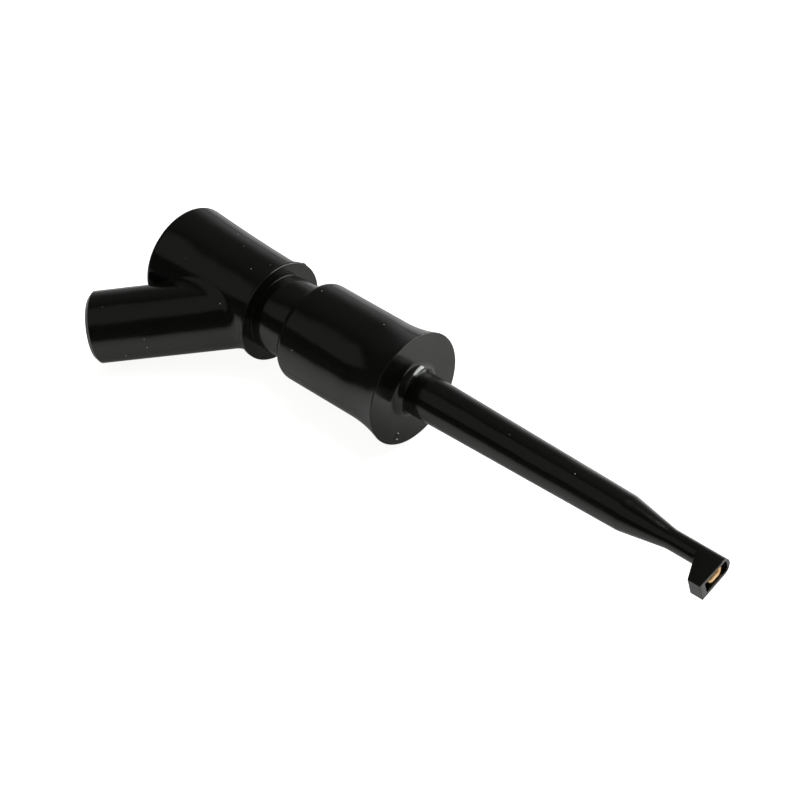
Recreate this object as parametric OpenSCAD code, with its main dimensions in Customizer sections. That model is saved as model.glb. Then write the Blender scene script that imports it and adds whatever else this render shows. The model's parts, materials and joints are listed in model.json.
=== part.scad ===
// Test hook clip: pressing the thumb cup pushes a hook out of the tip of a slender insulated nose.
// The nose points along +X. The socket arm and the hook's foot point to -Y and lean down a little,
// because the clip lies on its flange and on the end of the socket arm.

/* [Grip] */
// Diameter of the straight part of the grip
barrel_d = 11.4; // [9.5:0.1:14]
// Length of the grip, from its rear face to the front face of the flange
barrel_len = 15; // [12:0.5:24]
// Wall of the grip round the stem
barrel_wall = 1.27; // [1:0.01:1.6]
// Height of the flange above the barrel
flange_step = 0.75; // [0.4:0.05:1.5]
// Length of the trumpet flare, with the flange's rim
flare_len = 4.9; // [3:0.1:8]
// Width of the straight rim of the flange
rim_w = 0.3; // [0.2:0.05:0.6]
// Rounding of the flange's front edge
rim_round = 0.12; // [0.05:0.01:0.2]
// Rounding of the grip's rear edge
rear_round = 0.8; // [0.3:0.1:0.9]
// Chamfer at the mouth of the grip's bore
mouth_chamfer = 0.3; // [0.1:0.05:0.4]
// Thickness of the wall in front of the spring
front_wall = 2; // [1.5:0.1:3]

/* [Nose] */
// Length of the whole nose, from the flange to the front face of the head
nose_len = 40.7; // [32:0.1:60]
// Wall of the shaft round the rod, at the shaft's front end
shaft_wall = 0.775; // [0.5:0.025:1.2]
// Draft angle of the shaft
shaft_draft = 0.945; // [0.5:0.005:1.5]
// Concave rounding between the flange and the shaft
root_fillet = 1; // [0.3:0.1:1.2]
// Length of the cone between the shaft and the narrow tube
cone_len = 5.5; // [4:0.1:8]
// Radius of the soft edge where the cone begins
cone_soft = 4; // [2:0.5:20]
// Radius of the soft hollow where the cone ends
tube_soft = 5; // [2:0.5:16]
// Length of the narrow tube
tube_len = 3.6; // [2:0.1:8]
// Wall of the narrow tube round the wire
tube_wall = 0.475; // [0.35:0.025:0.8]

/* [Head] */
// Reach of the hook from the nose axis
leg_reach = 2.05; // [1.9:0.05:4]
// Gap between the hook's end and the end of its slot
leg_gap = 0.6; // [0.15:0.05:0.8]
// Gap on each side of the hook in its slot
slot_gap = 0.2; // [0.1:0.05:0.4]
// Wall of the head on each side of the slot
head_wall = 0.45; // [0.3:0.05:0.8]
// Wall of the foot beyond the slot's end
slot_end_wall = 0.75; // [0.4:0.05:1.2]
// Thickness of the foot behind the slot
foot_floor = 0.4; // [0.25:0.05:1]
// Length along the nose of the slope behind the foot
foot_slope = 1.3; // [0.8:0.1:2]

/* [Plunger] */
// Length of stem that shows between the grip and the shoulder
neck_gap = 4.8; // [3.5:0.1:6]
// Wall of the stem round the spring
stem_wall = 0.9; // [0.6:0.05:1.2]
// Height of the cup's front end above the stem
cup_step = 1.05; // [0.6:0.05:1.5]
// Height of the shoulder lip above the cup's front end
ring_step = 0.35; // [0.2:0.05:0.6]
// Width of the shoulder lip
ring_w = 0.45; // [0.3:0.05:1]
// Widening of the cup's radius towards its rear
cup_flare = 0.75; // [0.3:0.05:1.5]
// Length of the cup, from the shoulder to its rear face
cup_len = 15; // [12.5:0.5:20]
// Rounding of the cup's rear edge
cup_round = 0.5; // [0.2:0.05:0.6]
// Thickness of the web between the hollow and the spring
web_t = 1.8; // [1:0.1:2.5]

/* [Socket arm] */
// Bore of the socket, for a 4 mm plug
socket_d = 4.05; // [4:0.01:5]
// Depth of the socket's bore
socket_depth = 14; // [10:0.5:15]
// Wall of the socket sleeve
sleeve_wall = 0.7; // [0.4:0.05:0.9]
// Thickness of the sleeve's floor
sleeve_floor = 1; // [0.6:0.1:2]
// Wall of the sleeve's tail round the rod
tail_wall = 0.6; // [0.4:0.05:0.8]
// Depth of the sleeve's mouth inside the arm
sleeve_recess = 0.8; // [0.3:0.1:2]
// Wall of the arm round the sleeve
arm_wall = 1.255; // [1:0.005:1.6]
// Angle between the arm and the plunger's axis
arm_angle = 40; // [35:1:50]
// Length of the arm, from the plunger's axis to its mouth
arm_len = 20.2; // [18:0.1:26]
// Distance behind the shoulder where the arm's axis meets the plunger's axis
arm_back = 1.15; // [0.8:0.05:2]
// Rounding of the arm's end
arm_round = 0.3; // [0.1:0.05:0.6]

/* [Cap] */
// Width of the cup's rim round the thumb cap
cap_rim = 1.15; // [0.8:0.05:1.5]
// Width of the ledge that the thumb cap sits on
cap_ledge = 1.4; // [0.8:0.05:1.8]
// Thickness of the thumb cap at its edge
cap_t = 1.4; // [1:0.1:2]
// Length of the cap's spigot
spigot_len = 2.5; // [1:0.1:3]
// Width of the flat edge round the thumb dish
dish_edge = 0.7; // [0.4:0.05:1.5]
// Depth of the thumb dish
dish_depth = 0.6; // [0.2:0.05:0.8]

/* [Contact] */
// Diameter of the contact rod
rod_d = 2.2; // [1.8:0.05:2.7]
// Diameter of the hook wire
wire_d = 1; // [0.8:0.02:1.2]
// Length of the wire held in the rod
wire_seat = 5; // [3:0.5:8]
// Bend radius of the hook, at the middle of the wire
hook_bend = 0.75; // [0.65:0.05:0.8]
// Depth of the hook below the head's front face
hook_sink = 0; // [0:0.05:0.3]

/* [Spring] */
// Diameter of the spring wire
spring_wire = 0.6; // [0.4:0.05:0.7]
// Number of turns
spring_turns = 9; // [7:1:10]
// Depth of the pocket that centres the spring's front end
spring_pocket = 0.8; // [0.5:0.1:1.2]

/* [Fits] */
// Radial clearance of the stem in the grip
slide_gap = 0.08; // [0.04:0.01:0.1]
// Radial clearance of the rod and of the wire in the nose
guide_gap = 0.1; // [0.05:0.01:0.12]
// Gap between pieces that are pressed or soldered together
seat_gap = 0.02; // [0.01:0.01:0.04]
// Gap left between the shoulder and the grip at full press
stop_gap = 0.2; // [0.1:0.05:0.4]
// Radial clearance of the spring in its chamber
spring_gap = 0.25; // [0.15:0.05:0.4]
// Room in front of the moving pieces and round the sleeve's tail
free_gap = 0.5; // [0.4:0.05:0.6]

/* [Hidden] */
$fn = 96;

// A cut runs this far past the face it opens
past = 1;

// The press ends just before the shoulder meets the grip
travel = neck_gap - stop_gap;

// Radii from the outside of the grip inwards
barrel_r = barrel_d / 2;
flange_r = barrel_r + flange_step;
stem_r = barrel_r - barrel_wall - slide_gap;
spring_room_r = stem_r - stem_wall;
spring_r = spring_room_r - spring_gap;

// Radii from the rod and the wire outwards
rod_r = rod_d / 2;
wire_r = wire_d / 2;
shaft_tip_r = rod_r + guide_gap + shaft_wall;
tube_r = wire_r + guide_gap + tube_wall;

// Radii of the cup and its cap, from the stem
cup_front_r = stem_r + cup_step;
ring_r = cup_front_r + ring_step;
cup_rear_r = cup_front_r + cup_flare;
cap_seat_r = cup_rear_r - cap_rim;
hollow_r = cap_seat_r - cap_ledge;

// Radii of the arm, from the plug's bore outwards
socket_r = socket_d / 2;
sleeve_r = socket_r + sleeve_wall;
arm_r = sleeve_r + seat_gap + arm_wall;

// The head is sized from the hook's leg, which lies in the slot clear of its floor and end
slot_w = wire_d + 2 * slot_gap;
head_w = slot_w + 2 * head_wall;
slot_reach = leg_reach + leg_gap;
foot_reach = slot_reach + slot_end_wall;
slot_depth = hook_sink + wire_d + guide_gap;
foot_t = slot_depth + foot_floor;

// Places along the main axis, counted from the flange's front face
rear_x = -barrel_len;
chamber_x = -front_wall;
pocket_x = chamber_x - spring_pocket;
stem_front_x = pocket_x - free_gap - travel;
shoulder_x = rear_x - neck_gap;
arm_x = shoulder_x - arm_back;
cup_rear_x = shoulder_x - cup_len;
cup_front_x = shoulder_x - ring_w / 2;
leg_x = nose_len - hook_sink - wire_r;
foot_rear_x = nose_len - foot_t - foot_slope;
cone_end_x = foot_rear_x - tube_len;
shaft_len = cone_end_x - cone_len;

// The flare is an arc that leaves the barrel tangentially and ends at the flange's rim
flare_run = flare_len - rim_w;
flare_r = (flare_run * flare_run + flange_step * flange_step) / (2 * flange_step);

// The root fillet touches the flange's face and the drafted shaft
shaft_root_r = shaft_tip_r + shaft_len * tan(shaft_draft);
fillet_r_place = shaft_root_r - root_fillet * tan(shaft_draft) + root_fillet / cos(shaft_draft);

// The socket sleeve has a closed floor and a tail that holds the rod where the axes cross
sleeve_mouth = arm_len - sleeve_recess;
sleeve_foot = sleeve_mouth - socket_depth - sleeve_floor;
tail_r = rod_r + tail_wall;
hollow_front_x = arm_x + tail_r * (cos(arm_angle) + sin(arm_angle)) + free_gap / 2;
spring_rear_x = hollow_front_x + web_t;
rod_rear_x = arm_x - tail_r / sin(arm_angle) - free_gap;
rod_front_x = shaft_len - travel - free_gap;

// The clip lies on its flange, and the arm leans down until its end meets the same floor
lie_angle = asin((flange_r - arm_r) / (arm_len * sin(arm_angle)));

// The middle of the box around the clip, seen from above
function arm_extent(share) =
    (arm_len - arm_round) * share + (arm_r - arm_round) * sqrt(1 - share * share) + arm_round;
box_rear_x = min(cup_rear_x, arm_x - arm_extent(cos(arm_angle)));
box_arm_y = -arm_extent(sin(arm_angle) * cos(lie_angle));
box_mid_x = (box_rear_x + nose_len) / 2;
box_mid_y = (box_arm_y + flange_r) / 2;

plastic_black = [0.05, 0.05, 0.047];
brass = [0.78, 0.62, 0.36];
nickel = [0.72, 0.7, 0.66];
gold = [0.92, 0.74, 0.45];
spring_steel = [0.62, 0.63, 0.65];

// Puts a piece built on the main axis into its place in the clip's frame
module placed() {
    translate([-box_mid_x, -box_mid_y, flange_r]) rotate([lie_angle, 0, 0]) children();
}

// Turns a profile round the main axis: x is the radius and y the place along the axis
module turned() {
    rotate([0, 90, 0]) rotate_extrude() children();
}

// Turns the axis of a piece built along +Z into the socket arm's axis
module along_arm() {
    translate([arm_x, 0, 0]) rotate([0, 0, arm_angle]) rotate([0, -90, 0]) children();
}

// Extrudes an outline along the main axis: outline x is the clip's y, outline y its z
module along_nose(from_x, to_x) {
    translate([from_x, 0, 0]) rotate([90, 0, 90]) linear_extrude(to_x - from_x) children();
}

// What a square corner loses to a rounding: the corner is at the origin, the body at -x and -y
module corner_cut(r) {
    difference() {
        translate([-r, -r]) square(r + past);
        translate([-r, -r]) circle(r);
        translate([-r - past, -r - past]) square([past, 2 * past + r]);
        translate([-r - past, -r - past]) square([2 * past + r, past]);
    }
}

// The sliver between a blunt corner and the arc that rounds it: the corner, a point on each side, the radius
function unit(v) = v / norm(v);
module corner_sliver(corner, a, b, r) {
    along_a = unit(a - corner);
    along_b = unit(b - corner);
    inward = unit(along_a + along_b);
    half_angle = acos(along_a * along_b) / 2;
    reach = r / tan(half_angle);
    difference() {
        polygon([corner + reach * along_a, corner - rim_w * inward, corner + reach * along_b]);
        translate(corner + r / sin(half_angle) * inward) circle(r);
    }
}

// Round about the nose axis, with straight sides that run towards the foot
module foot_outline(width, reach) {
    circle(width / 2);
    translate([-reach, -width / 2]) square([reach, width]);
}

// The hook's slot: it ends just past the wire on the axis, where the head keeps a thick end wall
module slot_outline() {
    corner_r = slot_w / 4;
    end_y = wire_r + guide_gap + seat_gap;
    translate([-slot_reach, -slot_w / 2]) square([slot_reach + end_y - corner_r, slot_w]);
    translate([-slot_reach, corner_r - slot_w / 2]) square([slot_reach + end_y, slot_w - 2 * corner_r]);
    for (side = [-1, 1])
        translate([end_y - corner_r, side * (slot_w / 2 - corner_r)]) circle(corner_r);
}

module grip_profile() {
    difference() {
        union() {
            translate([0, rear_x]) square([barrel_r, barrel_len]);
            translate([0, -flare_len]) square([flange_r, flare_len]);
        }
        translate([barrel_r + flare_r, -flare_len]) circle(flare_r);
        translate([flange_r, 0]) corner_cut(rim_round);
        translate([barrel_r, rear_x]) mirror([0, 1]) corner_cut(rear_round);
    }
}

module nose_profile() {
    root = [shaft_root_r, 0];
    cone_start = [shaft_tip_r, shaft_len];
    cone_end = [tube_r, cone_end_x];
    tube_end = [tube_r, foot_rear_x + past];
    difference() {
        polygon([[0, -past], [shaft_root_r, -past], root, cone_start, cone_end, tube_end, [0, tube_end[1]]]);
        corner_sliver(cone_start, root, cone_end, cone_soft);
    }
    corner_sliver(cone_end, cone_start, tube_end, tube_soft);
    difference() {
        translate([shaft_root_r - rim_w, -rim_w])
            square([fillet_r_place - shaft_root_r + rim_w, root_fillet + rim_w]);
        translate([fillet_r_place, root_fillet]) circle(root_fillet);
    }
}

// Chamber for stem and spring, then the guides of the rod and of the wire
module grip_bore() {
    bore_r = stem_r + slide_gap;
    rod_guide_r = rod_r + guide_gap;
    wire_guide_r = wire_r + guide_gap;
    polygon([
        [0, rear_x - past], [bore_r + mouth_chamfer + past, rear_x - past],
        [bore_r, rear_x + mouth_chamfer], [bore_r, pocket_x],
        [spring_room_r, pocket_x], [spring_room_r, chamber_x],
        [rod_guide_r, chamber_x], [rod_guide_r, shaft_len],
        [wire_guide_r, cone_end_x], [wire_guide_r, nose_len + past], [0, nose_len + past]
    ]);
}

module head() {
    intersection() {
        along_nose(foot_rear_x, nose_len) foot_outline(head_w, foot_reach);
        linear_extrude(2 * head_w, center = true)
            polygon([
                [foot_rear_x, head_w], [foot_rear_x, -tube_r], [foot_rear_x + foot_slope, -foot_reach],
                [nose_len, -foot_reach], [nose_len, head_w]
            ]);
    }
}

module grip_body() {
    color(plastic_black) placed()
        difference() {
            union() {
                turned() grip_profile();
                turned() nose_profile();
                head();
            }
            turned() grip_bore();
            along_nose(nose_len - slot_depth, nose_len + past) slot_outline();
        }
}

module cup_profile() {
    difference() {
        union() {
            translate([0, shoulder_x - ring_w]) square([stem_r, stem_front_x - shoulder_x + ring_w]);
            translate([0, shoulder_x - ring_w]) square([ring_r, ring_w]);
            polygon([
                [0, cup_rear_x], [cup_rear_r, cup_rear_x], [cup_front_r, cup_front_x], [0, cup_front_x]
            ]);
        }
        translate([cup_rear_r, cup_rear_x]) mirror([0, 1]) corner_cut(cup_round);
    }
}

// Seat of the thumb cap, hollow round the sleeve's tail, rod hole and spring chamber
module cup_bore() {
    polygon([
        [0, cup_rear_x - past], [cap_seat_r, cup_rear_x - past], [cap_seat_r, cup_rear_x + cap_t],
        [hollow_r, cup_rear_x + cap_t], [hollow_r, hollow_front_x],
        [rod_r + seat_gap, hollow_front_x], [rod_r + seat_gap, spring_rear_x],
        [spring_room_r, spring_rear_x], [spring_room_r, stem_front_x + past], [0, stem_front_x + past]
    ]);
}

module plunger() {
    color(plastic_black) placed()
        difference() {
            union() {
                turned() cup_profile();
                along_arm() rotate_extrude() difference() {
                    square([arm_r, arm_len]);
                    translate([arm_r, arm_len]) corner_cut(arm_round);
                }
            }
            turned() cup_bore();
            along_arm() cylinder(r = sleeve_r + seat_gap, h = arm_len + past);
        }
}

module thumb_cap() {
    dish_half = cap_seat_r - dish_edge;
    dish_r = (dish_half * dish_half + dish_depth * dish_depth) / (2 * dish_depth);
    color(plastic_black) placed()
        difference() {
            turned() union() {
                translate([0, cup_rear_x]) square([cap_seat_r - seat_gap, cap_t - seat_gap]);
                translate([0, cup_rear_x]) square([hollow_r - seat_gap, cap_t + spigot_len]);
            }
            translate([cup_rear_x + dish_depth - dish_r, 0, 0]) sphere(dish_r);
        }
}

module socket_sleeve() {
    color(brass) placed()
        difference() {
            along_arm() union() {
                translate([0, 0, sleeve_foot]) cylinder(r = sleeve_r, h = sleeve_mouth - sleeve_foot);
                translate([0, 0, -tail_r]) cylinder(r = tail_r, h = tail_r + sleeve_foot + sleeve_floor / 2);
            }
            along_arm() translate([0, 0, sleeve_mouth - socket_depth])
                cylinder(r = socket_r, h = socket_depth + past);
            along_nose(rod_rear_x - past, spring_rear_x) circle(rod_r + seat_gap);
        }
}

module contact_rod() {
    color(nickel) placed()
        difference() {
            along_nose(rod_rear_x, rod_front_x) circle(rod_r);
            along_nose(rod_front_x - wire_seat, rod_front_x + past) circle(wire_r + seat_gap);
        }
}

module hook_wire() {
    color(gold) placed() {
        along_nose(rod_front_x - wire_seat, leg_x - hook_bend) circle(wire_r);
        translate([leg_x - hook_bend, -hook_bend, 0]) rotate_extrude(angle = 90)
            translate([hook_bend, 0]) circle(wire_r);
        translate([leg_x, -hook_bend, 0]) rotate([90, 0, 0])
            cylinder(r = wire_r, h = leg_reach - wire_r - hook_bend);
        translate([leg_x, wire_r - leg_reach, 0]) sphere(wire_r);
    }
}

// Place along the axis of the spring wire's middle after a number of turns, with a closed turn at each end
closed_pitch = spring_wire + seat_gap;
spring_run = chamber_x - spring_rear_x - spring_wire - 2 * seat_gap;
open_pitch = (spring_run - 2 * closed_pitch) / (spring_turns - 2);
function spring_place(turn) =
    turn < 1 ? turn * closed_pitch
    : turn > spring_turns - 1 ? spring_run - (spring_turns - turn) * closed_pitch
    : closed_pitch + (turn - 1) * open_pitch;

module return_spring() {
    sides = 6;
    steps = 16 * spring_turns;
    coil_r = spring_r - spring_wire / 2;
    first_x = spring_rear_x + seat_gap + spring_wire / 2;
    points = [
        for (i = [0:steps], k = [0:sides - 1])
            let (
                turn = spring_turns * i / steps,
                r = coil_r + spring_wire / 2 * cos(360 * k / sides),
                x = first_x + spring_place(turn) + spring_wire / 2 * sin(360 * k / sides)
            )
            [x, r * cos(360 * turn), r * sin(360 * turn)]
    ];
    walls = [
        for (i = [0:steps - 1], k = [0:sides - 1])
            let (next = (k + 1) % sides)
            [i * sides + k, i * sides + next, (i + 1) * sides + next, (i + 1) * sides + k]
    ];
    ends = [
        [for (k = [sides - 1:-1:0]) k],
        [for (k = [0:sides - 1]) steps * sides + k]
    ];
    color(spring_steel) placed() polyhedron(points, concat(walls, ends));
}

grip_body();
plunger();
thumb_cap();
socket_sleeve();
contact_rod();
hook_wire();
return_spring();
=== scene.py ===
import json
import math

import bmesh
import bpy
import numpy as np
from mathutils import Matrix, Vector


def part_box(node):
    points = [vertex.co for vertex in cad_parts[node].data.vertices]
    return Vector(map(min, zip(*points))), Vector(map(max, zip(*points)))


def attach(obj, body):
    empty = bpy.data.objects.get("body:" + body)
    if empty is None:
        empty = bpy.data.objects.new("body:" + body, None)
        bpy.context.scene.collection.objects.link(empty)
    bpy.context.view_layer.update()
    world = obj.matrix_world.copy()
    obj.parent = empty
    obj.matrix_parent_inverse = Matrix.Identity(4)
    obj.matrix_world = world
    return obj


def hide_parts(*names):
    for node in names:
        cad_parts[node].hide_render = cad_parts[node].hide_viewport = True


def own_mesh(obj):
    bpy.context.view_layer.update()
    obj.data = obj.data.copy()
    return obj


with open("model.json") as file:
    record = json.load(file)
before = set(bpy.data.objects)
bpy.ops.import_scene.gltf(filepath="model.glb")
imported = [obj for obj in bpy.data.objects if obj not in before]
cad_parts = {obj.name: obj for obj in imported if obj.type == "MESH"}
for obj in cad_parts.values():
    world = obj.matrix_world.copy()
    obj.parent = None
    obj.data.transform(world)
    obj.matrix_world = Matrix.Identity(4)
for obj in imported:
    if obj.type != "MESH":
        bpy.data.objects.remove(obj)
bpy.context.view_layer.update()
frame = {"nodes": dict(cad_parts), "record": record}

bl_info = {
    "name": "Test Hook Clip",
    "version": (1, 0, 0),
    "blender": (4, 5, 0),
    "location": "View3D > Sidebar > Hook Clip",
    "description": "Builds the visible pieces and the studio of a sprung test hook clip on its packed frame",
    "category": "Object",
}

MM = 0.001
RING_STEPS = 192
BEHIND = (-0.35, 0.937, 0.0)  # from the clip to the backdrop, along the floor

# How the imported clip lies: its main axis is the middle of the grip, along X, and the plug socket's
# mount gives the arm's angle and how far the clip leans over to rest on it
GRIP_LOW, GRIP_HIGH = (np.array(corner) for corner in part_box("grip_body"))
PLUG = next(mount for mount in frame["record"]["mounts"] if mount["name"] == "plug_socket")
ARM_ANGLE = math.acos(-PLUG["axis"][0])
LIE_ANGLE = math.atan2(-PLUG["axis"][2], -PLUG["axis"][1])


def length(name, millimetres, description):
    """A property for a size, given in millimetres and kept in metres."""
    return bpy.props.FloatProperty(
        name=name, description=description, default=millimetres * MM, min=0.0, unit="LENGTH", precision=5)


def tint(name, hex_value, description):
    """A colour property, given as an sRGB hex value and kept as linear light."""
    return bpy.props.FloatVectorProperty(
        name=name, description=description, default=linear(hex_value), size=3, min=0.0, max=1.0,
        subtype="COLOR")


def angle(name, degrees, description):
    """A property for an angle, given in degrees and kept in radians."""
    return bpy.props.FloatProperty(
        name=name, description=description, default=math.radians(degrees), subtype="ANGLE")


def strength(name, radiance, description):
    """A property for how bright a light is."""
    return bpy.props.FloatProperty(name=name, description=description, default=radiance, min=0.0)


def linear(hex_value):
    """sRGB hex to linear light: each channel is undone by the sRGB curve."""
    srgb = np.array([int(hex_value[i:i + 2], 16) for i in (1, 3, 5)]) / 255
    return np.where(srgb <= 0.04045, srgb / 12.92, ((srgb + 0.055) / 1.055) ** 2.4).tolist()


class GripSizes(bpy.types.PropertyGroup):
    """Sizes of the grip and its nose."""
    barrel_length: length("Barrel length", 15, "From the flange's front face to the barrel's rear end")
    barrel_radius: length("Barrel radius", 5.7, "Outside of the barrel")
    flange_radius: length("Flange radius", (GRIP_HIGH[2] - GRIP_LOW[2]) / 2 / MM, "Outside of the flange")
    flare_length: length("Flare length", 4.9, "Where the barrel opens out to the flange")
    rim_width: length("Rim width", 0.1, "Straight edge of the flange")
    rear_round: length("Rear round", 0.8, "Radius of the barrel's rear edge")
    bore_radius: length("Bore radius", 4.43, "Bore that the plunger slides in")
    mouth_chamfer: length("Mouth chamfer", 0.3, "Lead-in of the bore")
    front_wall: length("Front wall", 2, "Wall between the flange's face and the spring")
    spring_pocket: length("Spring pocket", 0.8, "Depth of the pocket that holds the spring's end")
    pocket_radius: length("Pocket radius", 3.45, "Radius of the spring's pocket and room")
    shaft_root: length("Shaft root radius", 2.45, "Nose shaft where it meets the flange")
    shaft_tip: length("Shaft tip radius", 1.975, "Nose shaft where the cone starts")
    shaft_length: length("Shaft length", 28.8, "Drafted part of the nose")
    root_fillet: length("Root fillet", 1.0, "Fillet between the flange's face and the shaft")
    tube_length: length("Tube length", 3.6, "Thin tube behind the head")
    tube_radius: length("Tube radius", 1.075, "Outside of the thin tube")
    rod_guide: length("Rod guide radius", 1.2, "Bore round the contact rod")
    wire_guide: length("Wire guide radius", 0.6, "Bore round the hook's wire")
    head_width: length("Head width", 2.3, "Across the end of the hook head")
    head_reach: length("Head reach", 3.4, "From the axis to the end of the hook head")
    head_thickness: length("Head thickness", 1.5, "Along the axis, at the head's end")
    head_slope: length("Head slope", 1.3, "Length of the slope behind the head")
    slot_width: length("Slot width", 1.4, "Slot that the hook's leg draws into")
    slot_reach: length("Slot reach", 2.65, "From the axis to the end of the slot")
    slot_depth: length("Slot depth", 1.1, "Depth of the slot from the head's front face")
    slot_end: length("Slot end", 0.62, "From the axis to the slot's end on the far side")
    slot_corner: length("Slot corner", 0.35, "Radius of the slot's corners on the far side")
    edge_round: length("Moulded edge", 0.12, "Radius of the moulding's small edges")
    cone_edge: length("Cone edge", 4, "Radius of the soft edge where the cone starts")
    cone_hollow: length("Cone hollow", 5, "Radius of the soft hollow where the cone ends")
    seam_step: length("Seam step", 0.06, "How far one mould half stands proud at the parting line")


class PlungerSizes(bpy.types.PropertyGroup):
    """Sizes of the plunger, its side arm and its cap."""
    stem_radius: length("Stem radius", 4.35, "Stem that slides in the grip")
    stem_front: length("Stem front", 7.9, "From the flange's face back to the stem's front end")
    shoulder_place: length("Shoulder place", 19.8, "From the flange's face back to the shoulder")
    lip_radius: length("Lip radius", 5.75, "Raised lip round the shoulder")
    lip_width: length("Lip width", 0.45, "Length of the lip along the axis")
    cup_front_radius: length("Cup front radius", 5.4, "Cup behind the lip")
    cup_rear_radius: length("Cup rear radius", 6.15, "Cup at its rear edge")
    cup_length: length("Cup length", 15, "From the shoulder to the rear edge")
    cup_sag: length("Cup sag", 0.11, "How far the cup's wall is hollowed halfway along")
    cup_round: length("Cup rear round", 0.5, "Radius of the cup's rear edge")
    cap_seat_radius: length("Cap seat radius", 5, "Seat of the thumb cap")
    cap_thickness: length("Cap thickness", 1.4, "Depth of the cap's seat")
    hollow_radius: length("Hollow radius", 3.6, "Hollow inside the cup")
    hollow_front: length("Hollow front", 18.305, "From the flange's face back to the hollow's end wall")
    web: length("Web", 1.8, "Wall between the hollow and the spring's room")
    rod_hole: length("Rod hole radius", 1.12, "Hole that holds the contact rod")
    arm_place: length("Arm place", 20.95, "From the flange's face back to where the arm's axis starts")
    arm_radius: length("Arm radius", 4, "Outside of the side arm")
    arm_length: length("Arm length", 20.2, "Side arm along its own axis")
    arm_bevel_run: length("Arm bevel run", 0.46, "How far back from the arm's end its bevel starts")
    arm_bevel_drop: length("Arm bevel drop", 0.46, "How far in from the arm's wall its bevel ends")
    arm_bore: length("Arm bore radius", 2.745, "Bore that holds the socket sleeve")
    front_fillet: length("Front fillet", 2.5, "Fillet in front of the arm's root")
    crotch_fillet: length("Crotch fillet", 0.05, "Fillet behind the arm's root")
    spigot_length: length("Spigot length", 2.5, "Spigot of the thumb cap")
    dish_radius: length("Dish radius", 4.3, "Half width of the thumb dish")
    dish_depth: length("Dish depth", 0.6, "Depth of the thumb dish")
    seat_gap: length("Seat gap", 0.02, "Gap round a seated piece")


class ContactSizes(bpy.types.PropertyGroup):
    """Sizes of the metal pieces and the spring."""
    sleeve_radius: length("Sleeve radius", 2.725, "Outside of the socket sleeve")
    sleeve_foot: length("Sleeve foot", 4.4, "From the arm's start to the sleeve's floor")
    sleeve_mouth: length("Sleeve mouth", 19.4, "From the arm's start to the sleeve's mouth")
    sleeve_depth: length("Socket depth", PLUG["dims"]["length_mm"], "Depth of the plug's bore")
    socket_radius: length("Socket radius", PLUG["dims"]["r_mm"], "Bore for the plug")
    tail_radius: length("Tail radius", 1.7, "Tail of the sleeve that holds the rod")
    wire_radius: length("Wire radius", 0.5, "Wire of the hook")
    wire_start: length("Wire start", 18.7, "Where the wire starts inside the rod")
    leg_place: length("Leg place", 40.2, "Middle of the hook's leg along the axis")
    leg_reach: length("Leg reach", 2.05, "From the axis to the end of the hook's leg")
    hook_bend: length("Hook bend", 0.75, "Bend radius of the hook at the wire's middle")
    coil_radius: length("Coil radius", 2.9, "Middle of the spring's wire from the axis")
    spring_wire: length("Spring wire", 0.6, "Diameter of the spring's wire")
    spring_rear: length("Spring rear", 16.185, "From the flange's face back to the spring's first turn")
    spring_run: length("Spring run", 13.865, "From the first to the last turn of the spring")
    closed_pitch: length("Closed pitch", 0.62, "Pitch of the closed end turns")
    turns: bpy.props.IntProperty(name="Turns", description="Turns of the spring", default=9, min=3)


class ClipColours(bpy.types.PropertyGroup):
    """Colours of the clip and the studio."""
    plastic_deep: tint("Plastic, deep", "#090b08", "Black plastic at its darkest")
    plastic_light: tint("Plastic, light", "#0e100c", "Black plastic where the pigment is thinner")
    dust: tint("Dust", "#b4b1a8", "Specks of dust on the plastic")
    brass: tint("Brass", "#d7b168", "Turned brass")
    brass_dull: tint("Brass, dull", "#9a7536", "Brass that has started to tarnish")
    nickel: tint("Nickel", "#cfcac0", "Nickel plating")
    nickel_dull: tint("Nickel, dull", "#a39d92", "Nickel plating in its rubbed places")
    gold: tint("Gold", "#f3c78c", "Gold plating")
    gold_dull: tint("Gold, dull", "#c98f4e", "Gold plating in its thin places")
    steel: tint("Spring steel", "#b4b7ba", "Drawn spring steel")
    steel_dull: tint("Spring steel, dull", "#7d7f82", "Spring steel along its drawing lines")
    floor: tint("Floor", "#f4f4f3", "Pale studio floor")


class StudioSettings(bpy.types.PropertyGroup):
    """Camera and lights."""
    azimuth: angle("Azimuth", 47.816, "Camera's direction round the clip, from -Y towards +X")
    elevation: angle("Elevation", 42.75, "Camera's height above the floor")
    roll: angle("Roll", 6.43, "How far the clip's upright leans to the left in the picture")
    distance: length("Distance", 270.4, "Camera to the picture's middle")
    focal: bpy.props.FloatProperty(
        name="Focal length", description="Lens of the camera", default=117.0, unit="CAMERA")
    aim: bpy.props.FloatVectorProperty(
        name="Aim", description="Point in the middle of the picture", size=3, unit="LENGTH",
        default=(-0.0014496, 0.0030700, 0.0057387))
    overhead: strength("Overhead", 1.9, "Radiance of the diffuser over the floor")
    board: strength("Board", 1.03, "Light that the pale board gives of itself")
    key: strength("Key", 9.0, "Radiance of the tall softbox at the back")
    fill: strength("Fill", 0.155, "Radiance of the dim panel at the front left")
    ceiling: strength("Ceiling", 0.3, "Radiance of the pale ceiling over the right")
    backdrop: strength("Backdrop", 0.3, "Radiance of the pale backdrop near the floor")


class ClipSettings(bpy.types.PropertyGroup):
    """Everything that a user may change."""
    grip: bpy.props.PointerProperty(type=GripSizes)
    plunger: bpy.props.PointerProperty(type=PlungerSizes)
    contact: bpy.props.PointerProperty(type=ContactSizes)
    colours: bpy.props.PointerProperty(type=ClipColours)
    studio: bpy.props.PointerProperty(type=StudioSettings)


def unit(vectors):
    """Vectors divided by their lengths."""
    return vectors / np.linalg.norm(vectors, axis=-1, keepdims=True)


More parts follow.
